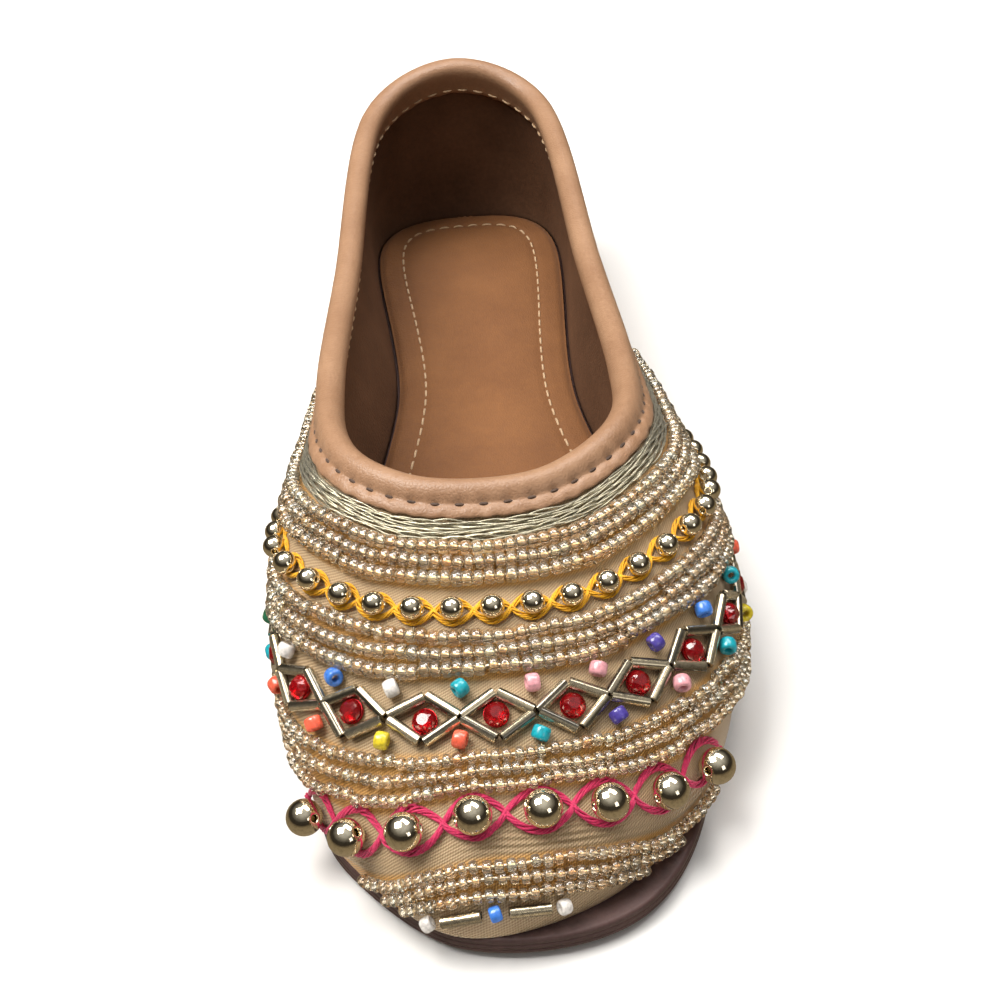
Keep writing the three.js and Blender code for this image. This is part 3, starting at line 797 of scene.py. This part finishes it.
def stitch_row(shape, turns, pitch, length, point, radius, height):
    """Stitches at turns; point(turn) gives a place and the direction away from what is sewn."""
    for turn, next_turn in zip(turns, np.append(turns[1:], turns[0] + 1)):
        lead = 0.5 * (1 - length / pitch)
        first, away = point(turn + lead * (next_turn - turn))
        last, _ = point(next_turn - lead * (next_turn - turn))
        add_stitch(shape, (first, last), away, height, radius)


def topline_stitches(name, finish, slot, line, pitch, below, raised, length, radius, height):
    """Stitches round the topline: outside the shoe where raised is over zero, and else inside."""
    shape = Shape()
    turns, pitch = even_turns(topline(below, line), pitch)

    def point(turn):
        points, normals = surface(np.array([turn]), np.array([below]))
        return (points + normals * raised)[0], normals[0] * math.copysign(1, raised)

    stitch_row(shape, turns, pitch, length, point, radius, height)
    shape.piece(name, finish, slot)


def insole_stitches():
    inset = -(WALL + 2 * GAP + INSOLE_STITCH_INSET)
    turns, pitch = even_turns(lambda fine: edge_points(fine, np.full(len(fine), inset)), 4.1)

    def point(turn):
        place = edge_points(np.array([turn]), np.array([inset]))[0]
        place[2] = sole_top(place[1]) + GAP + INSOLE_THICKNESS - 0.35
        return place, np.array([0, 0, 1.0])

    shape = Shape()
    stitch_row(shape, turns, pitch, 2.7, point, 0.27, 0.5)
    shape.piece("insole_stitches", CREAM_STITCH, "cream_stitch")


# Beads and threads

SEED_PITCH = 1.85
SEED_TEMPLATE = lathe(bead_outline(0.62, 1.0, 0.34, 10, 2.4), 12)
FLOSS_STRANDS = 6


def seed_turns(below):
    """Turns of uneven beads along one string, which is sewn down in short groups."""
    fine = np.linspace(*[row_end(below + 0.6, side) for side in (-1, 1)], 2400)
    run = row_run(fine, below)
    count = int(run[-1] / SEED_PITCH)
    steps = SEED_PITCH * (1 + rng.normal(0, 0.05, count))
    breaks = np.cumsum(rng.integers(3, 8, count))
    steps[breaks[breaks < count]] += 0.3
    places = np.cumsum(steps)
    places = places[places < run[-1] - 0.5]
    group = np.searchsorted(breaks, np.arange(len(places)), side="right")
    return np.interp(places, run, fine), group


def seed_band(index, low, high):
    """Strings of glass beads, each on a metal thread that shines through them."""
    shape = Shape()
    core = Shape()
    spacing = (high - low) / SEED_ROWS
    radius = min(1.44, 0.5 * spacing)
    for row in range(SEED_ROWS):
        below = low + (row + 0.5) * spacing
        turns, group = seed_turns(below)
        count = len(turns)
        sway = rng.normal(0, 0.2, group.max() + 1)[group] + rng.normal(0, 0.07, count)
        lift = radius + GAP * 0.3 + rng.normal(0, 0.06, count)
        centres, along, away, across = row_frames(turns, below + sway, lift)
        add_tube(core, centres, away, radius * 0.3, 6)
        yaw = rng.normal(0, 0.1, count)
        along, away, across = turned(along, away, across, yaw, rng.normal(0, 0.07, count))
        size = radius * (1 + rng.normal(0, 0.04, (count, 1)))
        scale = np.concatenate([size * rng.normal(1.02, 0.05, (count, 1)), size, size], 1)
        light = rng.normal(0.95, 0.1, count).clip(0.6, 1.1)
        warm = rng.normal(0, 0.05, count)
        tones = np.stack([light, light * (0.98 - warm), light * (0.96 - 2 * warm)], -1)
        add_copies(shape, SEED_TEMPLATE, centres, along, away, across, scale, tones)
    shape.piece(f"seed_strings_{index}", SEED_GLASS, "seed_glass", [f"seed_band_{index}"])
    core.piece(f"seed_threads_{index}", STRING_CORE, "zari_thread")


def bead_turns(beads):
    turns = row_turns(beads["below"], beads["pitch"], beads["start"], beads["radius"])
    return turns[np.abs(turns) < beads["reach"]]


def round_beads(beads, node, name, bore, sides, points):
    """Silvered beads in a row, with their holes along it."""
    turns = bead_turns(beads)
    count = len(turns)
    centres, along, away, across = row_frames(turns, beads["below"], beads["radius"] + GAP / 2)
    along, away, across = turned(along, away, across, rng.normal(0, 0.2, count), rng.normal(0, 0.12, count))
    template = lathe(ball_outline(beads["radius"], bore, points), sides)
    light = rng.normal(1.0, 0.05, count)
    tones = np.stack([light, light, light * 0.98], -1)
    shape = Shape()
    add_copies(shape, template, centres, along, away, across, None, tones)
    shape.piece(name, SILVERED, "silvered_bead", [node])


def looped_threads(beads, name, finish, slot, reach, strand, bundle, lay):
    """Two bundles of floss that cross between the beads, over and under by turns."""
    turns = bead_turns(beads)
    below = beads["below"]
    steps = np.arange(-0.5, len(turns) - 0.49, 0.03)
    past_ends = np.concatenate([[2 * turns[0] - turns[1]], turns, [2 * turns[-1] - turns[-2]]])
    along = np.interp(steps, np.arange(-1, len(turns) + 1), past_ends)
    run = row_run(along, below)
    swing = np.cos(np.pi * (steps - np.round(steps)))
    flip = (-1.0) ** np.round(steps)
    shape = Shape()
    for side in (-1, 1):
        path = side * flip * np.abs(swing) ** 0.8 * reach
        over = 0.55 + 0.35 * side * flip * (1 - np.abs(swing))
        for phase in 2 * np.pi * np.arange(FLOSS_STRANDS) / FLOSS_STRANDS:
            waver = 0.25 * np.sin(run / 2.3 + 5 * phase) + 0.15 * np.sin(run / 0.9 + 3 * phase)
            twist = 2 * np.pi * run / lay + phase + waver
            offset = path + bundle * np.cos(twist)
            height = np.maximum(over + 0.6 * bundle * np.sin(twist), strand + 0.1)
            turn = turn_across(along, below, offset)
            points, normals = laid(turn, below + offset)
            level = below + offset + sag(turn, below + offset)
            keep = level + 1 < section_width(turn)
            add_tube(shape, (points + normals * height[:, None])[keep], normals[keep], strand, 5)
    shape.piece(name, finish, slot)


BUGLE = {"radius": 1.02, "bore": 0.5, "length": 6.9, "lift": 1.35, "sides": 20}


def bugle_template(length):
    """A cut glass tube with a bore and square ends."""
    half = length / 2
    radius = BUGLE["radius"]
    bore = BUGLE["bore"]
    outline = np.array([
        [half, bore], [half, radius * 0.92], [half - 0.08, radius], [-half + 0.08, radius],
        [-half, radius * 0.92], [-half, bore], [-half * 0.4, bore], [half * 0.4, bore],
    ])
    return lathe(outline, BUGLE["sides"])


def bugle_painted_streaks():
    """Painted bright and dark streaks along a tube: painted reflections of its silver lining as seen through
    the glass.
    """
    angle = 2 * np.pi * np.arange(BUGLE["sides"]) / BUGLE["sides"]
    first, second = rng.uniform(0, 2 * np.pi, 2)
    streak = 0.55 + 0.38 * np.sin(2 * angle + first) + 0.28 * np.sin(5 * angle + second)
    streak = streak.clip(0.1, 1.15) * rng.normal(1.0, 0.08)
    return np.tile(streak[:, None] * np.array([1.0, 0.97, 0.9]), (8, 1))


def add_bugle(shape, template, first, last, away):
    along = unit(last - first)
    across = unit(np.cross(along, away))
    out = np.cross(across, along)
    middle = ((first + last) / 2)[None]
    # Each tube's tone carries painted streaks of reflected light.
    add_copies(shape, template, middle, along[None], out[None], across[None], None, [bugle_painted_streaks()])


def bugle_lattice():
    crossings = row_turns(LATTICE["below"], LATTICE["pitch"], LATTICE["start"], LATTICE["room"])
    middles = (crossings[1:] + crossings[:-1]) / 2
    template = bugle_template(BUGLE["length"])
    shape = Shape()
    for i, middle in enumerate(middles):
        for side in (-1, 1):
            offset = side * LATTICE["half_height"]
            corner_turn = turn_across(np.array([middle]), LATTICE["below"], offset)
            corner, out = laid(corner_turn, LATTICE["below"] + offset)
            for end in (crossings[i], crossings[i + 1]):
                point, away = laid(np.array([end]), np.array([LATTICE["below"]]))
                lift = unit(out + away)[0]
                jitter = rng.normal(0, 0.12, 3)
                first = (point + away * BUGLE["lift"])[0] + jitter
                last = (corner + out * BUGLE["lift"])[0] - jitter
                add_bugle(shape, template, first, last, lift)
    shape.piece("bugle_diamonds", BUGLE_GLASS, "bugle_glass", ["bugle_lattice"], sharp=40)
    return crossings, middles


def stone_template():
    """A round cut stone: girdle, eight kites, eight star facets and a table."""
    radius = 2.1
    angle = 2 * np.pi * np.arange(8) / 8
    half = angle + np.pi / 8

    def ring(size, height, at):
        return np.stack([size * np.cos(at), size * np.sin(at), np.full(8, height)], -1)

    points = np.concatenate([
        ring(radius * 0.86, 0.0, angle), ring(radius, 0.75, angle), ring(radius, 0.75, half),
        ring(radius * 0.78, 1.5, half), ring(radius * 0.5, 1.95, angle),
    ])
    faces = []
    for i in range(8):
        k = (i + 1) % 8
        h = (i - 1) % 8
        faces.append([i, k, 8 + k, 16 + i, 8 + i])
        faces.append([8 + i, 16 + i, 24 + i])
        faces.append([16 + i, 8 + k, 24 + i])
        faces.append([8 + i, 24 + i, 32 + i, 24 + h])
        faces.append([24 + i, 32 + k, 32 + i])
    faces.append(list(range(32, 40)))
    faces.append(list(range(7, -1, -1)))
    return points, faces


def red_stones(middles):
    points, faces = stone_template()
    shape = Shape()
    foil = Shape()
    rim = circle(20)
    foil_points = np.concatenate([
        np.stack([size * rim[:, 0], size * rim[:, 1], np.full(20, height)], -1)
        for size, height in ((0.3, 0.12), (1.6, 0.18), (2.16, 0.66), (2.26, 0.62), (2.2, 0.0))
    ])
    foil_faces = grid_faces(5, 20, close_columns=True)
    for middle in middles:
        below = LATTICE["below"] + rng.normal(0, 0.25)
        centre, along, away, across = row_frames(np.array([middle]), below, GAP)
        spin = rng.uniform(0, np.pi / 4)
        first = along * math.cos(spin) + across * math.sin(spin)
        second = np.cross(away, first)
        axes = np.stack([first[0], second[0], away[0]])
        shape.points.append(centre + (points + [0, 0, 0.25]) @ axes)
        shape.tones.append(np.full(points.shape, rng.normal(1.0, 0.12)))
        shape.faces.extend([[index + shape.count for index in face] for face in faces])
        shape.count += len(points)
        foil.add(centre + foil_points @ axes, foil_faces)
    nodes = [f"red_stone_{i + 1}" for i in range(len(middles))]
    shape.piece("cut_stones", RED_GLASS, "red_glass", nodes, flat=True)
    foil.piece("stone_cups", RED_FOIL, "red_glass")


def accent_beads(crossings, toe_turns):
    """Loose coloured beads over and under the crossings, and those of the toe row."""
    template = lathe(bead_outline(1.2, 1.62, 0.5, 14, 2.8), 18)
    small = lathe(bead_outline(1.0, 1.35, 0.42, 14, 2.8), 18)
    by_colour = {}

    def put(colour, turn, below, lift, shape_template, node, yaw):
        piece = by_colour.setdefault(colour, (Shape(), []))
        frames = row_frames(np.array([turn]), np.array([below]), lift)
        along, away, across = turned(*frames[1:], np.array([yaw]), np.array([rng.normal(0, 0.25)]))
        tone = np.full((1, 3), rng.normal(1.0, 0.06))
        add_copies(piece[0], shape_template, frames[0], along, away, across, None, tone)
        if node:
            piece[1].append(node)

    sides = (("above", -ACCENT_OVER, ACCENTS_ABOVE), ("below", ACCENT_UNDER, ACCENTS_BELOW))
    for i, crossing in enumerate(crossings):
        for word, offset, names in sides:
            turn = turn_across(np.array([crossing]), LATTICE["below"], offset)[0]
            yaw = rng.uniform(0, np.pi)
            put(names[i % len(names)], turn, LATTICE["below"] + offset, 1.62 + GAP * 0.5, template,
                f"accent_{word}_{i + 1}", yaw)
    for turn, colour in zip(toe_turns, TOE_COLOURS):
        put(colour, turn, TOE_ROW["below"], 1.5, small, None, rng.normal(0, 0.2))
    for colour, (shape, nodes) in by_colour.items():
        finish = bead_finish(f"{colour}_glass", ACCENT_COLOURS[colour], roughness=0.22, coat_weight=0.5,
                             coat_roughness=0.05)
        shape.piece(f"{colour}_beads", finish, f"{colour}_glass", nodes)


def toe_row():
    turns = row_turns(TOE_ROW["below"], TOE_ROW["pitch"], TOE_ROW["start"], 0)
    template = bugle_template(7.0)
    shape = Shape()
    for first, last in zip(turns[:-1], turns[1:]):
        ends = laid_at(np.array([first, last]), TOE_ROW["below"] + rng.normal(0, 0.2, 2), 1.5)
        away = laid(np.array([(first + last) / 2]), TOE_ROW["below"])[1][0]
        add_bugle(shape, template, ends[0], ends[1], away)
    shape.piece("toe_bugles", BUGLE_GLASS, "bugle_glass", ["toe_bugle_row"], sharp=40)
    return turns


def zari_band():
    """Couched strands of metal thread that sway and pass over one another."""
    shape = Shape()
    strands = 15
    for strand in range(strands):
        below = ZARI_FROM + 0.2 + strand * (ZARI_TO - ZARI_FROM - 0.4) / (strands - 1)
        turns = np.linspace(*[row_end(below, side) for side in (-1, 1)], 520)
        run = row_run(turns, below)
        sway = 0.2 * np.sin(run / 2.9 + strand * 1.7) + 0.12 * np.sin(run / 1.3 + strand * 2.9)
        points, normals = surface(turns, below + sway)
        height = 0.55 + 0.3 * np.sin(run / 1.5 + 2.4 * strand + np.sin(run / 7.0 + strand))
        add_tube(shape, points + normals * height[:, None], normals, 0.19, 5)
    shape.piece("zari_couching", ZARI, "zari_thread", ["zari_band"])


def side_seams():
    """A narrow corded seam at each end of the beaded vamp."""
    shape = Shape()
    for side in (-1, 1):
        turn = side * (SEAM_TURN + 0.004)
        width = float(section_width(turn))
        below = np.linspace(BINDING_OUTLINE[0, 0] + 0.4, width - 0.6, 160)
        points, normals = surface(np.full(len(below), turn), below)
        add_twisted(shape, points + normals * 0.5, normals, 0.36, 0.28, 2.4, 6)
    shape.piece("side_seam_cord", ZARI, "zari_thread")


outsole()
insole()
upper_shell()
binding()
topline_stitches(
    "binding_stitches", DARK_STITCH, "dark_stitch", 1.0, BINDING_STITCH["pitch"], BINDING_STITCH["below"],
    0.72, BINDING_STITCH["length"], 0.33, 0.4,
)
topline_stitches("inside_stitches", CREAM_STITCH, "cream_stitch", -3.5, 4.2, 6.0, -3.42, 2.6, 0.24, 0.5)
insole_stitches()
zari_band()
side_seams()
for band_index, (band_low, band_high) in enumerate(SEED_BANDS):
    seed_band(band_index + 1, band_low, band_high)
round_beads(SMALL_BEADS, "small_bead_row", "small_silver_beads", 0.6, 22, 15)
round_beads(LARGE_BEADS, "large_bead_row", "large_silver_beads", 0.85, 32, 21)
looped_threads(SMALL_BEADS, "yellow_loops", YELLOW_THREAD, "yellow_thread", 2.1, 0.17, 0.48, 6.5)
looped_threads(LARGE_BEADS, "pink_loops", PINK_THREAD, "pink_thread", 3.3, 0.23, 0.5, 7)
lattice_crossings, lattice_middles = bugle_lattice()
red_stones(lattice_middles)
accent_beads(lattice_crossings, toe_row())


# Floor, light and camera

def floor():
    mesh = bpy.data.meshes.new("floor")
    half = 3.0
    corners = [(-half, -half, 0), (half, -half, 0), (half, half, 0), (-half, half, 0)]
    mesh.from_pydata(corners, [], [(0, 1, 2, 3)])
    finish = Finish("pale_floor", roughness=0.85, specular_ior_level=0.15)
    finish.colour(finish.ramp(finish.noise(3, 4), (0.3, (0.8, 0.79, 0.78)), (0.7, (0.84, 0.835, 0.83))))
    mesh.materials.append(finish.material)
    plane = bpy.data.objects.new("floor", mesh)
    plane.visible_glossy = False
    bpy.context.scene.collection.objects.link(plane)


def look_at(item, place, aim, roll=0.0):
    place = Vector(place)
    rotation = (place - Vector(aim)).to_track_quat("Z", "Y").to_matrix().to_4x4()
    item.matrix_world = Matrix.Translation(place) @ rotation @ Matrix.Rotation(roll, 4, "Z")


def area_light(name, place, aim, size, watts, colour):
    light = bpy.data.lights.new(name, "AREA")
    light.shape = "RECTANGLE"
    light.size, light.size_y = size
    light.energy = watts
    light.color = colour
    item = bpy.data.objects.new(name, light)
    bpy.context.scene.collection.objects.link(item)
    look_at(item, place, aim)


ROOM = (
    (0.0, (0.6, 0.48, 0.32)), (0.36, (0.45, 0.35, 0.22)), (0.5, (0.07, 0.055, 0.04)),
    (0.66, (0.08, 0.068, 0.055)), (0.8, (0.38, 0.35, 0.31)), (1.0, (1.3, 1.28, 1.25)),
)


PALE_WALL = (0.9, 0.89, 0.88)


def backdrop():
    """A pale wall, and the warm floor, dark walls and bright ceiling that the polished beads reflect."""
    world = bpy.data.worlds.new("studio")
    tree = Tree(world)
    height = tree.node("ShaderNodeSeparateXYZ", {"Vector": tree.place("Generated")}).outputs["Z"]
    share = tree.node("ShaderNodeMapRange", {"Value": height, "From Min": -1.0}).outputs["Result"]
    seen = tree.node("ShaderNodeLightPath").outputs["Is Camera Ray"]
    background = tree.nodes["Background"]
    tree.links.new(tree.mix(seen, tree.ramp(share, *ROOM), PALE_WALL), background.inputs["Color"])
    background.inputs["Strength"].default_value = 0.5
    bpy.context.scene.world = world


def lights():
    middle = (0, -0.03, 0.03)
    area_light("key", (-0.45, 0.0, 1.0), middle, (0.65, 0.65), 17, (1.0, 0.97, 0.92))
    area_light("top", (0.3, 0.4, 1.2), middle, (1.0, 0.5), 10.5, (1.0, 0.98, 0.96))
    area_light("front", (0.7, -1.0, 0.6), middle, (0.4, 0.5), 1.2, (1.0, 0.97, 0.93))
    bpy.context.scene.view_settings.view_transform = "Standard"


CAMERA_PLACE = (-0.00143, -0.27313, 0.21479)
CAMERA_AIM = (-0.00006, -0.03384, 0.025)
CAMERA_ROLL = -4.2
LENS = 54.0


def camera():
    lens = bpy.data.cameras.new("camera")
    lens.sensor_width = 36
    lens.lens = LENS
    item = bpy.data.objects.new("camera", lens)
    bpy.context.scene.collection.objects.link(item)
    look_at(item, CAMERA_PLACE, CAMERA_AIM, math.radians(CAMERA_ROLL))
    bpy.context.scene.camera = item


floor()
backdrop()
lights()
camera()
